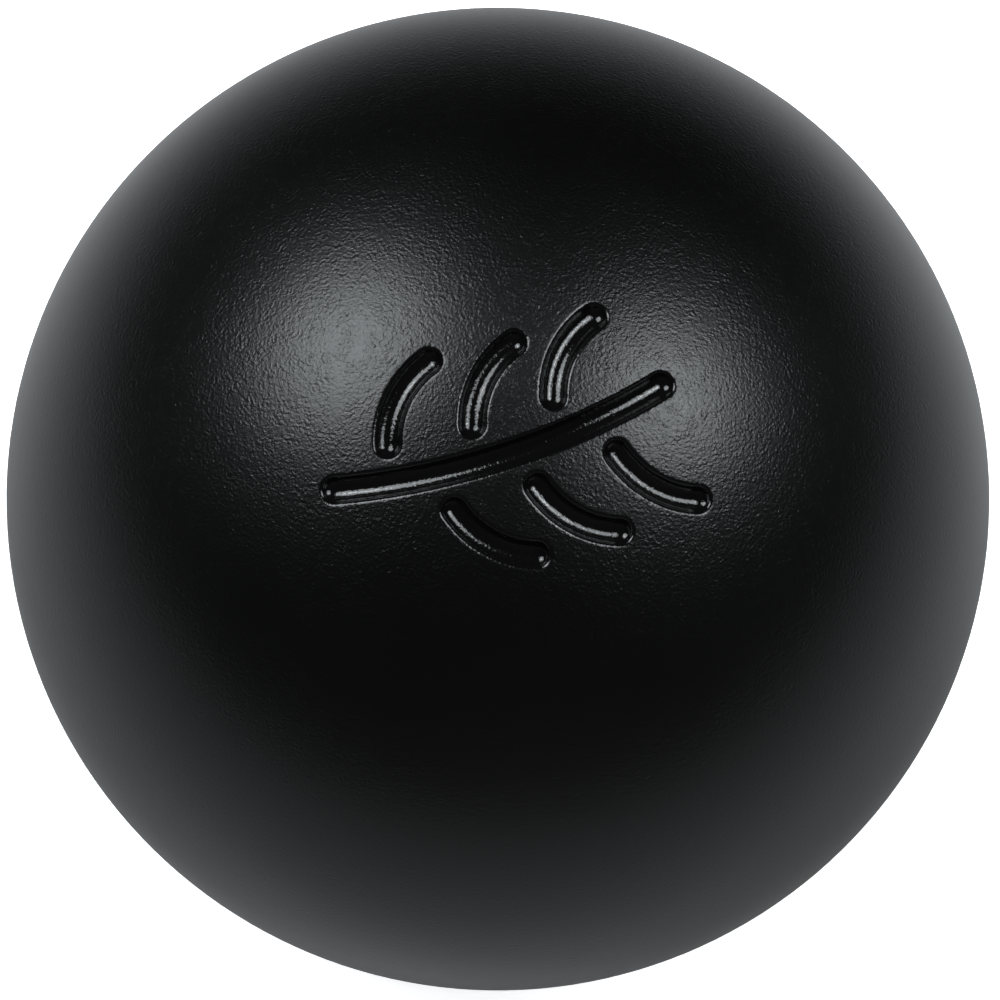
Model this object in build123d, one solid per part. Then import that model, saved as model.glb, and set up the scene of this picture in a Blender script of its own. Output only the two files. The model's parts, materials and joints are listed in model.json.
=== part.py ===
from build123d import *
import math
import os

# A petanque boule: two forged steel half shells, butt welded round the equator,
# turned to a true ball, engraved with a plain sprig and lacquered black.
# Millimetres, +Z up, origin at the centre of the ball, weld in the plane z = 0.

# Driving dimensions: the ball
ball_diameter = 74.0  # over the lacquer
coat_thickness = 0.10  # the lacquer, square to the steel
wall_thickness = 6.15  # the steel, from the hollow to the lacquer

# Driving dimensions: the single-V butt weld
root_gap = 1.0  # between the two half shells
root_face = 1.5  # flat land at the foot of the V, measured across the wall
bevel_angle = 30.0  # of each side of the V, from the weld plane, in degrees
root_run_rise = 1.2  # how far the first run climbs up the V
bead_width = 4.0  # of the root bead that shows inside the hollow
bead_height = 0.8  # how far that bead stands in from the hollow's wall

# Driving dimensions: the engraving, cut in the steel with a ball-nosed cutter
cutter_radius = 1.05
groove_depth = 0.75
mark_elevation = 77.0  # of the sprig's middle above the equator, in degrees
sprig_turn = 18.0  # of the stem from level, in degrees
stem_length = 24.0
stem_bow = 1.6  # how far the middle of the stem sags
stem_tail = 4.5  # bare stem before the first leaf
leaves_per_side = 3
leaf_pitch = 6.0
leaf_stagger = 3.0  # the lower row starts this much further along the stem
leaf_length = 6.5
leaf_angle = 46.0  # from the stem, in degrees
leaf_bow = 0.8  # how far the middle of a leaf stands out from its chord
leaf_land = 0.7  # plain surface left between the stem's groove and a leaf's

# Sizes that follow from those
ball_radius = ball_diameter / 2
steel_radius = ball_radius - coat_thickness
hollow_radius = steel_radius - wall_thickness
land_radius = hollow_radius + root_face
root_run_radius = land_radius + root_run_rise
half_gap = root_gap / 2
bevel_slope = math.tan(math.radians(bevel_angle))

# The cutter's middle runs on a sphere of this radius
cutter_path_radius = steel_radius - groove_depth + cutter_radius


def height_on(radius, along):
    # The other coordinate of a point on a circle of that radius
    return math.sqrt(radius**2 - along**2)


def bevel_height(radius):
    # Half the width of the V at that distance from the ball's axis
    return half_gap + (radius - land_radius) * bevel_slope


def bevel_meets(radius):
    # Where the bevel's line comes out through a ball of that radius
    a = 1 + bevel_slope**2
    foot = half_gap - land_radius * bevel_slope
    b = foot * bevel_slope
    c = foot**2 - radius**2
    across = (-b + math.sqrt(b**2 - a * c)) / a
    return across, bevel_height(across)


def arc_on(radius, start, end):
    # The arc about the ball's centre between two points of a section
    middle = (Vector(*start) + Vector(*end)).normalized() * radius
    return ThreePointArc(start, middle, end)


def turned(*edges):
    # A ring or a cap turned about the ball's axis from its closed half section
    return revolve(Plane.XZ * make_face(edges), axis=Axis.Z)


def half_shell_blank():
    # The upper half shell with its edge ready for the weld, thick enough to be turned
    inner_pole = (0, hollow_radius)
    outer_pole = (0, ball_radius)
    land_inside = (height_on(hollow_radius, half_gap), half_gap)
    land_outside = (land_radius, half_gap)
    bevel_top = bevel_meets(ball_radius)
    return turned(
        arc_on(hollow_radius, inner_pole, land_inside),
        Line(land_inside, land_outside),
        Line(land_outside, bevel_top),
        arc_on(ball_radius, bevel_top, outer_pole),
        Line(outer_pole, inner_pole),
    )


def root_weld():
    # The first run: it bridges the gap and stands into the hollow as a low bead
    half_bead = bead_width / 2
    half_top = bevel_height(root_run_radius)
    bead = [(height_on(hollow_radius, half_bead), side * half_bead) for side in (-1, 1)]
    land_inside = [(height_on(hollow_radius, half_gap), side * half_gap) for side in (-1, 1)]
    land_outside = [(land_radius, side * half_gap) for side in (-1, 1)]
    top = [(root_run_radius, side * half_top) for side in (-1, 1)]
    crest = (hollow_radius - bead_height, 0)
    return turned(
        ThreePointArc(bead[0], crest, bead[1]),
        arc_on(hollow_radius, bead[1], land_inside[1]),
        Line(land_inside[1], land_outside[1]),
        Line(land_outside[1], top[1]),
        Line(top[1], top[0]),
        Line(top[0], land_outside[0]),
        Line(land_outside[0], land_inside[0]),
        arc_on(hollow_radius, land_inside[0], bead[0]),
    )


def cap_weld():
    # The second run: it fills the V and is turned flush with the half shells
    half_top = bevel_height(root_run_radius)
    cap_radius, half_cap = bevel_meets(steel_radius)
    return turned(
        Line((root_run_radius, -half_top), (root_run_radius, half_top)),
        Line((root_run_radius, half_top), (cap_radius, half_cap)),
        arc_on(steel_radius, (cap_radius, half_cap), (cap_radius, -half_cap)),
        Line((cap_radius, -half_cap), (root_run_radius, -half_top)),
    )


def sprig_strokes():
    # Each stroke's start, middle and end, flat, with the stem along the first axis
    tip = stem_length / 2
    yield (-tip, 0), (0, -stem_bow), (tip, 0)
    groove_width = 2 * height_on(cutter_radius, cutter_path_radius - steel_radius)
    leaf_offset = groove_width + leaf_land
    direction = Vector(1, 0).rotate(Axis.Z, leaf_angle)
    outward = Vector(0, 1).rotate(Axis.Z, leaf_angle)
    for side, start in ((1, 0), (-1, leaf_stagger)):
        for i in range(leaves_per_side):
            along = stem_tail - tip + start + i * leaf_pitch
            stem_sag = stem_bow * (1 - (along / tip) ** 2)
            foot = Vector(along, leaf_offset)
            bend = foot + direction * (leaf_length / 2) + outward * leaf_bow
            end = foot + direction * leaf_length
            yield tuple((p.X, side * p.Y - stem_sag) for p in (foot, bend, end))


def on_cutter_path(point):
    # A flat point of the sprig, lifted to where the cutter's middle runs
    across, up = point
    return Vector(across, up, height_on(cutter_path_radius, math.hypot(across, up)))


def stroke_tool(points, radius):
    # What a ball of that radius sweeps along one stroke: a bent bar with round ends
    path = ThreePointArc(*[on_cutter_path(p) for p in points])
    start, end = path @ 0, path @ 1
    bar = revolve(
        Plane(start, z_dir=path % 0) * Circle(radius),
        axis=Axis((0, 0, 0), (start - path.arc_center).cross(path % 0)),
        revolution_arc=math.degrees(path.length / path.radius),
    )
    round_end = Sphere(radius, arc_size1=0, align=None)
    first_end = Plane(start, z_dir=-(path % 0)) * round_end
    last_end = Plane(end, z_dir=path % 1) * round_end
    return bar + first_end + last_end


def engraved_ball(skin):
    # The solid ball with that thickness of skin on the steel, every stroke of the sprig
    # cut into it. Its own poles lie on the equator, clear of the engraving.
    ball = Rot(X=90) * Sphere(steel_radius + skin)
    place = Rot(X=90 - mark_elevation) * Rot(Z=sprig_turn)
    for points in sprig_strokes():
        ball -= place * stroke_tool(points, cutter_radius - skin)
    return ball


steel_ball = engraved_ball(0)
upper_blank = half_shell_blank()

pieces = {
    "upper_half_shell": steel_ball & upper_blank,
    "lower_half_shell": steel_ball & mirror(upper_blank, about=Plane.XY),
    "root_weld_run": root_weld(),
    "cap_weld_run": cap_weld(),
    "black_lacquer_coat": engraved_ball(coat_thickness) - steel_ball,
}

os.makedirs("parts", exist_ok=True)
for name, piece in pieces.items():
    export_step(piece, f"parts/{name}.step")
    print(f"{name}: {piece.volume:.0f} mm3")
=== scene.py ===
import bmesh
import bpy
import json
import math
from mathutils import Matrix, Vector


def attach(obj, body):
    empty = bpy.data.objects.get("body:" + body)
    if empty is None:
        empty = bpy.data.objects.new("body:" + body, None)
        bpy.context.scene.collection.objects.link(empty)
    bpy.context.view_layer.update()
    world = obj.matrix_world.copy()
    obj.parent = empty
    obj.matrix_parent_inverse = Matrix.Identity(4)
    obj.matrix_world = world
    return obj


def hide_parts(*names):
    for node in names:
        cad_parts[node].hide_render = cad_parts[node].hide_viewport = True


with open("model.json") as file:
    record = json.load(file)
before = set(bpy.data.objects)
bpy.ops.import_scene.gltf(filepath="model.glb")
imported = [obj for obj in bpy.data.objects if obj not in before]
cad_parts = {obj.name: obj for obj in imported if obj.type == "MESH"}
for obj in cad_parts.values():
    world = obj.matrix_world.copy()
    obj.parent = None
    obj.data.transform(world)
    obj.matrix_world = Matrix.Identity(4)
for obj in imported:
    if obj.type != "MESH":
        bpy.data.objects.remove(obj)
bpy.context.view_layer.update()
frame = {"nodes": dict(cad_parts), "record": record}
nodes = frame["nodes"]
mm = 0.001
ballRadius = -frame["record"]["mounts"][0]["pos_m"][2]  # the ball touches the ground one radius down
print("frame loaded, ball radius in mm:", round(ballRadius / mm, 3))


# shader maths: a Wire is one output socket, a Sheet is one node tree

class Wire:
    def __init__(self, sheet, socket):
        self.sheet = sheet
        self.socket = socket

    def __add__(self, other):
        return self.sheet.maths("ADD", self, other)

    def __radd__(self, other):
        return self.sheet.maths("ADD", other, self)

    def __sub__(self, other):
        return self.sheet.maths("SUBTRACT", self, other)

    def __rsub__(self, other):
        return self.sheet.maths("SUBTRACT", other, self)

    def __mul__(self, other):
        return self.sheet.maths("MULTIPLY", self, other)

    def __rmul__(self, other):
        return self.sheet.maths("MULTIPLY", other, self)

    def __truediv__(self, other):
        return self.sheet.maths("DIVIDE", self, other)

    def __rtruediv__(self, other):
        return self.sheet.maths("DIVIDE", other, self)

    def __pow__(self, other):
        return self.sheet.maths("POWER", self, other)

    def __abs__(self):
        return self.sheet.maths("ABSOLUTE", self)

    def atLeast(self, other):
        return self.sheet.maths("MAXIMUM", self, other)

    def atMost(self, other):
        return self.sheet.maths("MINIMUM", self, other)


class Sheet:
    def __init__(self, tree):
        self.tree = tree
        tree.nodes.clear()

    def add(self, kind, settings=None, sockets=None, out=0):
        node = self.tree.nodes.new(kind)
        for name, value in (settings or {}).items():
            if name == "stops":
                setStops(node.color_ramp, value)
            else:
                setattr(node, name, value)
        for name, value in (sockets or {}).items():
            if isinstance(value, Wire):
                self.tree.links.new(value.socket, node.inputs[name])
            else:
                node.inputs[name].default_value = value
        return Wire(self, node.outputs[out]) if node.outputs else None

    def maths(self, operation, *values):
        return self.add("ShaderNodeMath", {"operation": operation}, dict(enumerate(values)))

    def spot(self):
        return self.add("ShaderNodeTexCoord", out="Object")

    def along(self, axis, vector):
        return self.add("ShaderNodeSeparateXYZ", {}, {"Vector": vector}, out=axis)

    def noise(self, spot, scale, detail):
        return self.add("ShaderNodeTexNoise", {}, {"Vector": spot, "Scale": scale, "Detail": detail})

    def fitted(self, value, old, new):
        # carried from one range to another, and held at its ends
        return self.add("ShaderNodeMapRange", {}, dict(enumerate((value, *old, *new))))

    def mixed(self, share, first, second):
        # the mix node's colours are its sockets 6 and 7, and its output 2
        colours = {0: share, 6: first, 7: second}
        return self.add("ShaderNodeMix", {"data_type": "RGBA"}, colours, out=2)

    def bump(self, height, distance):
        return self.add("ShaderNodeBump", {}, {"Strength": 1, "Distance": distance, "Height": height})

    def surface(self, sockets):
        shader = self.add("ShaderNodeBsdfPrincipled", {}, sockets)
        self.add("ShaderNodeOutputMaterial", {}, {"Surface": shader})


def setStops(ramp, stops):
    while len(ramp.elements) < len(stops):
        ramp.elements.new(0.5)
    for element, (position, colour) in zip(ramp.elements, stops):
        element.position = position
        element.color = (*colour, 1)


def newMaterial(name):
    material = bpy.data.materials.new(name)
    material.use_nodes = True
    return material, Sheet(material.node_tree)


# the engraved sprig, the same strokes as the solids have

sprig = {
    "cutterRadius": 1.05 * mm,
    "grooveDepth": 0.75 * mm,
    "coatThickness": 0.10 * mm,
    "elevation": 77,  # of its middle above the equator, in degrees
    "turn": 18,  # of the stem from level, in degrees
    "stemLength": 24 * mm,
    "stemBow": 1.6 * mm,
    "stemTail": 4.5 * mm,
    "leavesPerSide": 3,
    "leafPitch": 6 * mm,
    "leafStagger": 3 * mm,
    "leafLength": 6.5 * mm,
    "leafAngle": 46,
    "leafBow": 0.8 * mm,
    "leafLand": 0.7 * mm,
}
steelRadius = ballRadius - sprig["coatThickness"]
# from the ball's centre to the cutter's
cutterPath = steelRadius - sprig["grooveDepth"] + sprig["cutterRadius"]


def sprigStrokes():
    # start, middle and end of each stroke, flat
    tip = sprig["stemLength"] / 2
    yield (-tip, 0), (0, -sprig["stemBow"]), (tip, 0)
    grooveWidth = 2 * math.sqrt(sprig["cutterRadius"] ** 2 - (cutterPath - steelRadius) ** 2)
    turned = Matrix.Rotation(math.radians(sprig["leafAngle"]), 2)
    along = turned @ Vector((1, 0))
    outward = turned @ Vector((0, 1))
    for side, start in ((1, 0), (-1, sprig["leafStagger"])):
        for i in range(sprig["leavesPerSide"]):
            onStem = sprig["stemTail"] - tip + start + i * sprig["leafPitch"]
            sag = sprig["stemBow"] * (1 - (onStem / tip) ** 2)
            foot = Vector((onStem, grooveWidth + sprig["leafLand"]))
            bend = foot + along * sprig["leafLength"] / 2 + outward * sprig["leafBow"]
            end = foot + along * sprig["leafLength"]
            yield tuple((p.x, side * p.y - sag) for p in (foot, bend, end))


class Stroke:
    # one stroke as an arc on the unit sphere, turned about an axis through its centre
    def __init__(self, points, place):
        start, middle, end = [self.lifted(p, place) for p in points]
        self.axis = (middle - start).cross(end - middle).normalized()
        self.start = start
        self.end = end
        self.tilt = self.axis.angle(start)
        self.first = (start - self.axis * start.dot(self.axis)).normalized()
        self.second = self.axis.cross(self.first)
        self.span = self.turnOf(end)

    def lifted(self, point, place):
        height = math.sqrt(cutterPath ** 2 - point[0] ** 2 - point[1] ** 2)
        return place @ (Vector((*point, height)) / cutterPath)

    def turnOf(self, direction):
        return math.atan2(direction.dot(self.second), direction.dot(self.first)) % (2 * math.pi)

    def nearest(self, direction):
        # the nearest point of the arc, and the angle to it
        turn = self.turnOf(direction)
        if turn <= self.span:
            flat = self.first * math.cos(turn) + self.second * math.sin(turn)
            spot = self.axis * math.cos(self.tilt) + flat * math.sin(self.tilt)
        else:
            spot = max(self.start, self.end, key=direction.dot)
        return spot, direction.angle(spot, 0)


lean = Matrix.Rotation(math.radians(90 - sprig["elevation"]), 3, "X")
markPlace = lean @ Matrix.Rotation(math.radians(sprig["turn"]), 3, "Z")
markMiddle = lean @ Vector((0, 0, 1))
strokes = [Stroke(points, markPlace) for points in sprigStrokes()]
markReach = max(markMiddle.angle(p) for s in strokes for p in (s.start, s.end))
print("sprig strokes:", len(strokes))


def nearestStroke(direction, within):
    # the nearest point of the whole sprig, or nothing if it is further away than that angle
    if direction.angle(markMiddle) > markReach + within:
        return None, math.inf
    spot, angle = min((s.nearest(direction) for s in strokes), key=lambda pair: pair[1])
    return (spot, angle) if angle < within else (None, math.inf)


# the lacquer coat: a true ball with the sprig pressed in, skin deep, closed inside and out

coat = {
    "facesPerSide": 45,  # of the cube that the ball starts from
    "fineLevels": 4,  # halvings of the faces round the grooves, outside
    "backLevels": 3,  # the same on the side that lies on the steel
    "rimRound": 0.32 * mm,
    "rimGloss": 0.03 * mm,  # the depth from which the grooves are glossier than the ball
    "backRimRound": 0.05 * mm,
    "bandMargin": 0.25 * mm,  # finely divided surface beyond each rim
    "gradeCells": 3,  # cells between one fineness and the next
}


class Groove:
    # the section of a groove: cutter's circle, rounded rim, then the ball
    def __init__(self, radius, cutter, rim):
        self.radius = radius
        self.cutter = cutter
        self.rim = rim
        hub = radius - rim
        reach = cutter + rim
        self.rimAngle = math.acos((cutterPath ** 2 + hub ** 2 - reach ** 2) / (2 * cutterPath * hub))
        self.rimHub = Vector((hub * math.sin(self.rimAngle), hub * math.cos(self.rimAngle)))
        self.wallTurn = math.atan2(self.rimHub.x, cutterPath - self.rimHub.y)
        self.wallLength = cutter * self.wallTurn
        self.rimLength = rim * (self.wallTurn + self.rimAngle)
        self.bandAngle = self.rimAngle + coat["bandMargin"] / radius
        self.length = self.wallLength + self.rimLength + coat["bandMargin"]

    def point(self, angle):
        # where a spot of the plain ball goes, that far from the groove's middle
        along = self.length * angle / self.bandAngle
        if along < self.wallLength:
            turn = along / self.cutter
            spot = Vector((self.cutter * math.sin(turn), cutterPath - self.cutter * math.cos(turn)))
        elif along < self.wallLength + self.rimLength:
            turn = (along - self.wallLength) / self.rim - self.wallTurn
            spot = self.rimHub + self.rim * Vector((math.sin(turn), math.cos(turn)))
        else:
            turn = self.rimAngle + (along - self.wallLength - self.rimLength) / self.radius
            spot = self.radius * Vector((math.sin(turn), math.cos(turn)))
        return math.atan2(spot.x, spot.y), spot.length


def engravedBall(groove, levels):
    # a cube blown up to a ball, divided finely round the sprig, with the grooves pressed in
    bm = bmesh.new()
    bmesh.ops.create_cube(bm, size=2)
    cuts = coat["facesPerSide"] - 1
    bmesh.ops.subdivide_edges(bm, edges=bm.edges[:], cuts=cuts, use_grid_fill=True)
    for v in bm.verts:
        v.co = Vector(math.tan(c * math.pi / 4) for c in v.co).normalized()
    cell = math.pi / 2 / coat["facesPerSide"]
    for _ in range(levels):
        within = groove.bandAngle + coat["gradeCells"] * cell
        near = [f for f in bm.faces if nearestStroke(f.calc_center_median().normalized(), within)[0]]
        edges = list({e for f in near for e in f.edges})
        bmesh.ops.subdivide_edges(bm, edges=edges, cuts=1, use_grid_fill=True)
        for v in bm.verts:
            v.co.normalize()
        cell /= 2
    depth = bm.verts.layers.float.new("engraved")
    for v in bm.verts:
        spot, angle = nearestStroke(v.co, groove.bandAngle)
        if spot is None:
            v.co *= groove.radius
            continue
        newAngle, height = groove.point(angle)
        sideways = (v.co - spot * v.co.dot(spot)).normalized()
        v.co = (spot * math.cos(newAngle) + sideways * math.sin(newAngle)) * height
        v[depth] = min(1, (groove.radius - height) / coat["rimGloss"])
    return bm


def joined(name, sheets):
    # several bmeshes as one object, smooth all over
    whole = bmesh.new()
    mesh = bpy.data.meshes.new(name)
    for bm in sheets:
        bm.to_mesh(mesh)
        whole.from_mesh(mesh)
        bm.free()
    for f in whole.faces:
        f.smooth = True
    whole.to_mesh(mesh)
    whole.free()
    piece = bpy.data.objects.new(name, mesh)
    bpy.context.scene.collection.objects.link(piece)
    return piece


def makeCoat():
    cutter = sprig["cutterRadius"]
    frontGroove = Groove(ballRadius, cutter - sprig["coatThickness"], coat["rimRound"])
    backGroove = Groove(steelRadius, cutter, coat["backRimRound"])
    front = engravedBall(frontGroove, coat["fineLevels"])
    back = engravedBall(backGroove, coat["backLevels"])
    bmesh.ops.reverse_faces(back, faces=back.faces[:])
    piece = joined("lacquer_skin", [front, back])
    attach(piece, "root")
    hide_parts("black_lacquer_coat")
    print("lacquer skin faces:", len(piece.data.polygons))
    return piece


# finishes

noiseMiddle = 0.5

lacquer = {
    "black": (0.0011, 0.0010, 0.0010, 1),
    "blackPale": (0.0019, 0.0018, 0.0018, 1),
    # painted light: the grooves' black is lighter than the ball's, to lift the shade that falls in
    # them
    "grooveBlackPaintedLift": (0.0042, 0.0040, 0.0040, 1),
    "cloudScale": 90,  # soft patches in the black and in the gloss, per metre
    "cloudDetail": 3,
    "roughness": 0.31,
    "roughnessSpread": 0.05,
    "grooveRoughness": 0.10,
    "ior": 1.5,
    "peelScale": 4200,  # orange peel, cells per metre
    "peelDetail": 1.5,
    "peelHeight": 0.045 * mm,
    "clumpScale": 1100,  # the peel comes and goes in patches
    "clumpDetail": 1,
    "clumpNoise": (0.35, 0.65),
    "clumpPeel": (0.45, 1.2),  # the share of the peel at those two noise levels
    "gritScale": 5200,  # stray grains in the lacquer
    "gritDetail": 0,
    "gritFrom": 0.61,  # the noise level that they stand out from
    "gritHeight": 0.9,
    "thinHeight": (0.5, 0.88),  # above the equator, in ball radii: the peel thins out lower down
    "thinPeel": (0.4, 1),  # the share of the peel at those two heights
    "groovePeel": 0.45,  # the share of the peel that is left in the grooves
}


def lacquerMaterial():
    material, sheet = newMaterial("blackLacquer")
    spot = sheet.spot()
    engraved = sheet.add("ShaderNodeAttribute", {"attribute_name": "engraved"}, out="Fac")
    cloud = sheet.noise(spot, lacquer["cloudScale"], lacquer["cloudDetail"])
    peel = sheet.noise(spot, lacquer["peelScale"], lacquer["peelDetail"])
    clump = sheet.noise(spot, lacquer["clumpScale"], lacquer["clumpDetail"])
    clump = sheet.fitted(clump, lacquer["clumpNoise"], lacquer["clumpPeel"])
    grit = sheet.noise(spot, lacquer["gritScale"], lacquer["gritDetail"])
    grit = (grit - lacquer["gritFrom"]).atLeast(0) * lacquer["gritHeight"]
    height = sheet.along("Z", spot) / ballRadius
    thin = sheet.fitted(height, lacquer["thinHeight"], lacquer["thinPeel"])
    left = 1 - engraved * (1 - lacquer["groovePeel"])
    relief = ((peel - noiseMiddle) * clump + grit) * thin * left
    colour = sheet.mixed(cloud, lacquer["black"], lacquer["blackPale"])
    # painted light in the grooves: a lighter black where engraved, lifting the shade in them
    colour = sheet.mixed(engraved, colour, lacquer["grooveBlackPaintedLift"])
    roughness = lacquer["roughness"] + (cloud - noiseMiddle) * lacquer["roughnessSpread"]
    roughness = roughness + engraved * (lacquer["grooveRoughness"] - lacquer["roughness"])
    sheet.surface({
        "Base Color": colour,
        "Roughness": roughness,
        "IOR": lacquer["ior"],
        "Normal": sheet.bump(relief, lacquer["peelHeight"]),
    })
    return material


steel = {
    "bare": (0.30, 0.30, 0.31, 1),
    "scale": (0.09, 0.085, 0.085, 1),
    "patchScale": 160,  # patches of forge scale
    "patchDetail": 6,
    "roughness": 0.3,
    "patchRoughness": 0.3,  # rougher by this in the patches
    "patchDull": 0.4,  # less metallic by this in the patches
    "turnMarks": 1500,  # rings left by the turning
    "turnWaver": 0.4,
    "turnHeight": 0.3,  # against the patches' height
    "reliefHeight": 0.01 * mm,
}


def steelMaterial():
    material, sheet = newMaterial("forgedSteel")
    spot = sheet.spot()
    patch = sheet.noise(spot, steel["patchScale"], steel["patchDetail"])
    rings = sheet.add(
        "ShaderNodeTexWave", {"bands_direction": "Z"},
        {"Vector": spot, "Scale": steel["turnMarks"], "Distortion": steel["turnWaver"]})
    relief = patch + rings * steel["turnHeight"]
    sheet.surface({
        "Base Color": sheet.mixed(patch, steel["bare"], steel["scale"]),
        "Roughness": steel["roughness"] + patch * steel["patchRoughness"],
        "Metallic": 1 - patch * steel["patchDull"],
        "Normal": sheet.bump(relief, steel["reliefHeight"]),
    })
    return material


weld = {
    # heat tints: straw, grey and blue, each at its noise level
    "tints": (
        (0.3, (0.33, 0.24, 0.13)),
        (0.5, (0.20, 0.20, 0.20)),
        (0.7, (0.10, 0.13, 0.20)),
    ),
    "tintScale": 45,
    "tintDetail": 2,
    "ripples": 210,  # round the ring
    "rippleSag": 900,  # how far each ripple trails at the edges, in radians per metre
    "rippleHeight": 0.03 * mm,
    "wobble": 6,  # of the ripples, in radians
    "wobbleScale": 300,
    "wobbleDetail": 2,
    "turnedDepth": 0.05 * mm,  # the depth from which the ripples are whole
    "roughness": 0.35,
    "rippleRoughness": 0.15,
}


def weldMaterial():
    material, sheet = newMaterial("weldMetal")
    spot = sheet.spot()
    x, y, z = [sheet.along(axis, spot) for axis in "XYZ"]
    tint = sheet.noise(spot, weld["tintScale"], weld["tintDetail"])
    wobble = sheet.noise(spot, weld["wobbleScale"], weld["wobbleDetail"])
    turn = sheet.maths("ARCTAN2", y, x) * weld["ripples"]
    trail = abs(z) * weld["rippleSag"]
    wave = sheet.maths("SINE", turn + trail + wobble * weld["wobble"])
    away = sheet.add("ShaderNodeVectorMath", {"operation": "LENGTH"}, {0: spot}, out="Value")
    asWelded = ((steelRadius - away) / weld["turnedDepth"]).atMost(1)  # turned smooth outside
    ripple = (wave + 1) / 2 * asWelded
    sheet.surface({
        "Base Color": sheet.add("ShaderNodeValToRGB", {"stops": weld["tints"]}, {"Fac": tint}),
        "Roughness": weld["roughness"] + ripple * weld["rippleRoughness"],
        "Metallic": 1,
        "Normal": sheet.bump(ripple, weld["rippleHeight"]),
    })
    return material


def dress(piece, material):
    piece.data.materials.clear()
    piece.data.materials.append(material)


dress(makeCoat(), lacquerMaterial())
forged = steelMaterial()
welded = weldMaterial()
for name in ("upper_half_shell", "lower_half_shell"):
    dress(nodes[name], forged)
for name in ("root_weld_run", "cap_weld_run"):
    dress(nodes[name], welded)
print("finishes on")


# camera, floor, lights

camera = {
    "elevation": 70,  # in degrees
    "lens": 200,  # millimetres, as is the sensor
    "sensor": 36,
    "clipStart": 0.01,
    "imageSide": 1000,  # pixels, as are the ball's outline and its middle
    "outlineRadius": 491.6,
    "outlineMiddle": (497.9, 499.0),
}
tilt = math.radians(camera["elevation"])
toEye = Vector((0, -math.cos(tilt), math.sin(tilt)))
imageRight = Vector((1, 0, 0))
imageUp = toEye.cross(imageRight)


def makeCamera():
    data = bpy.data.cameras.new("camera")
    data.lens = camera["lens"]
    data.sensor_width = camera["sensor"]
    data.clip_start = camera["clipStart"]
    side = camera["imageSide"]
    slope = camera["outlineRadius"] / side * camera["sensor"] / camera["lens"]
    distance = ballRadius / math.sin(math.atan(slope))
    data.shift_x = (side / 2 - camera["outlineMiddle"][0]) / side
    data.shift_y = (camera["outlineMiddle"][1] - side / 2) / side
    eye = bpy.data.objects.new("camera", data)
    eye.location = toEye * distance
    eye.rotation_euler = toEye.to_track_quat("Z", "Y").to_euler()
    bpy.context.scene.collection.objects.link(eye)
    bpy.context.scene.camera = eye
    print("camera distance in m:", round(distance, 4))


floors = {
    "size": 4.0,
    "colour": (0.86, 0.86, 0.86, 1),
    "roughness": 0.9,
    "glow": 0.76,
    "poolSize": 3.0,  # the part of the floor that the gloss picks up
    "poolLift": 0.02 * mm,
    "poolColour": (0.74, 0.74, 0.745, 1),
    "poolDark": (0, 0, 0, 1),
    "poolGlow": 0.09,
    "poolMiddle": 0.054,  # how far behind the ball it is brightest
    "poolReach": {"side": 0.171, "back": 0.064, "front": 0.115},  # over which it darkens
    "poolCorner": 0.5,  # how much faster it darkens towards the back corners
    "poolFadePower": -0.78,
    "frontReach": 0.25,  # the floor in front gets lighter up to this far from the middle
    "frontGlow": 0.2,  # and by this share of the pool's colour
}


def makePlane(name, size, height):
    bm = bmesh.new()
    bmesh.ops.create_grid(bm, x_segments=1, y_segments=1, size=size / 2)
    bmesh.ops.translate(bm, verts=bm.verts[:], vec=(0, 0, height))
    floor = joined(name, [bm])
    material, sheet = newMaterial(name)
    dress(floor, material)
    return floor, sheet


def makeFloor():
    # the wide floor is what shows, and the gloss doesn't see it
    floor, sheet = makePlane("floor", floors["size"], -ballRadius)
    sheet.surface({
        "Base Color": floors["colour"],
        "Roughness": floors["roughness"],
        "Specular IOR Level": 0,
        "Emission Color": floors["colour"],
        "Emission Strength": floors["glow"],
    })
    floor.visible_glossy = False
    return floor


def makePool():
    # a painted pool of light round the ball, its brightness painted into its colour and glow, which
    # only the gloss sees as a painted reflection
    pool, sheet = makePlane("floor_pool", floors["poolSize"], floors["poolLift"] - ballRadius)
    spot = sheet.spot()
    x, y = [sheet.along(axis, spot) for axis in "XY"]
    reach = floors["poolReach"]
    aside = abs(x) / reach["side"]
    behind = y - floors["poolMiddle"]
    back = behind / reach["back"]
    away = back.atLeast(behind / -reach["front"])
    corner = aside * back.atLeast(0) * floors["poolCorner"]
    # painted light: the pool's brightness falls off from its middle and is lighter in front, painted
    # into its colour
    fade = (aside ** 2 + away ** 2 + corner + 1) ** floors["poolFadePower"]
    front = (behind / -floors["frontReach"]).atLeast(0).atMost(1)
    light = fade + front * floors["frontGlow"]
    colour = sheet.mixed(light, floors["poolDark"], floors["poolColour"])
    sheet.surface({
        "Base Color": colour,
        "Roughness": 1,
        "Specular IOR Level": 0,
        "Emission Color": colour,
        "Emission Strength": floors["poolGlow"],
    })
    pool.visible_camera = False
    pool.visible_diffuse = False
    pool.visible_shadow = False


lamps = {
    "distance": 1.5,
    "colour": (0.95, 1, 1.03),
    "ringSpacing": 0.01,  # each wider ring stands this far behind the one before
    # degrees off the camera's line and degrees round it from the image's right,
    # then each ring's half angle in degrees and radiance, the bright middle first
    "keys": {
        "keyLeft": {"off": 48.3, "round": 134.1, "rings": ((4, 11), (18, 5.8))},
        "keyRight": {"off": 44.7, "round": 31.6, "rings": ((4, 11), (14, 3.6), (18, 2.1))},
    },
    "fillRadius": 0.8,
    "fillRadiance": 6.0,
}


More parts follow.
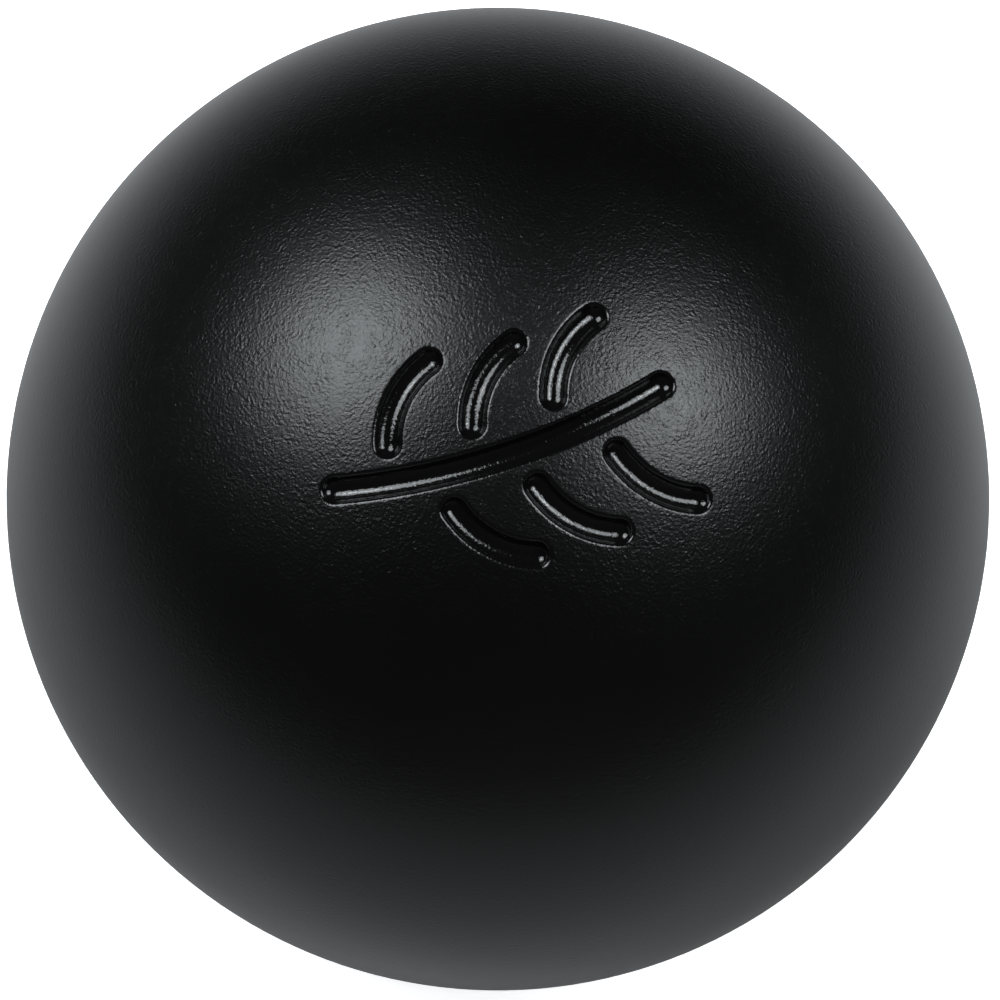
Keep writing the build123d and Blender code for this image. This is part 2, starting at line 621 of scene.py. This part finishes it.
def makeLamp(name, toLamp, radius, radiance):
    data = bpy.data.lights.new(name, "AREA")
    data.shape = "DISK"
    data.size = 2 * radius
    data.energy = radiance * (math.pi * radius) ** 2
    data.color = lamps["colour"]
    lamp = bpy.data.objects.new(name, data)
    lamp.location = toLamp
    lamp.rotation_euler = toLamp.to_track_quat("Z", "Y").to_euler()
    bpy.context.scene.collection.objects.link(lamp)
    return lamp


def makeKeys():
    for name, key in lamps["keys"].items():
        off = math.radians(key["off"])
        clock = math.radians(key["round"])
        sideways = imageRight * math.cos(clock) + imageUp * math.sin(clock)
        toLamp = toEye * math.cos(off) + sideways * math.sin(off)
        for i, (halfAngle, radiance) in enumerate(key["rings"]):
            distance = lamps["distance"] + lamps["ringSpacing"] * i
            radius = distance * math.tan(math.radians(halfAngle))
            makeLamp(name + str(i), toLamp * distance, radius, radiance)


def makeFill(floor):
    # from straight above, on the floor alone
    toLamp = Vector((0, 0, lamps["distance"]))
    fill = makeLamp("fill", toLamp, lamps["fillRadius"], lamps["fillRadiance"])
    lit = bpy.data.collections.new("fillLit")
    lit.objects.link(floor)
    fill.light_linking.receiver_collection = lit


sky = {
    "backdrop": (1, 1, 1, 1),
    # what the gloss sees where no lamp is, behind the ball and in front of it
    "gloomBehind": (0.004, 0.004, 0.004, 1),
    "gloomFront": (0.066, 0.065, 0.065, 1),
    "gloomPower": 6,
}


def makeSky():
    world = bpy.data.worlds.new("studioSky")
    world.use_nodes = True
    bpy.context.scene.world = world
    sheet = Sheet(world.node_tree)
    seen = sheet.add("ShaderNodeLightPath", out="Is Camera Ray")
    toSky = sheet.add("ShaderNodeTexCoord", out="Generated")
    front = ((1 - sheet.along("Y", toSky)) / 2) ** sky["gloomPower"]
    gloom = sheet.mixed(front, sky["gloomBehind"], sky["gloomFront"])
    colour = sheet.mixed(seen, gloom, sky["backdrop"])
    shader = sheet.add("ShaderNodeBackground", {}, {"Color": colour})
    sheet.add("ShaderNodeOutputWorld", {}, {"Surface": shader})


makeCamera()
wideFloor = makeFloor()
makePool()
makeKeys()
makeFill(wideFloor)
makeSky()
bpy.context.scene.view_settings.view_transform = "Standard"
print("studio set")
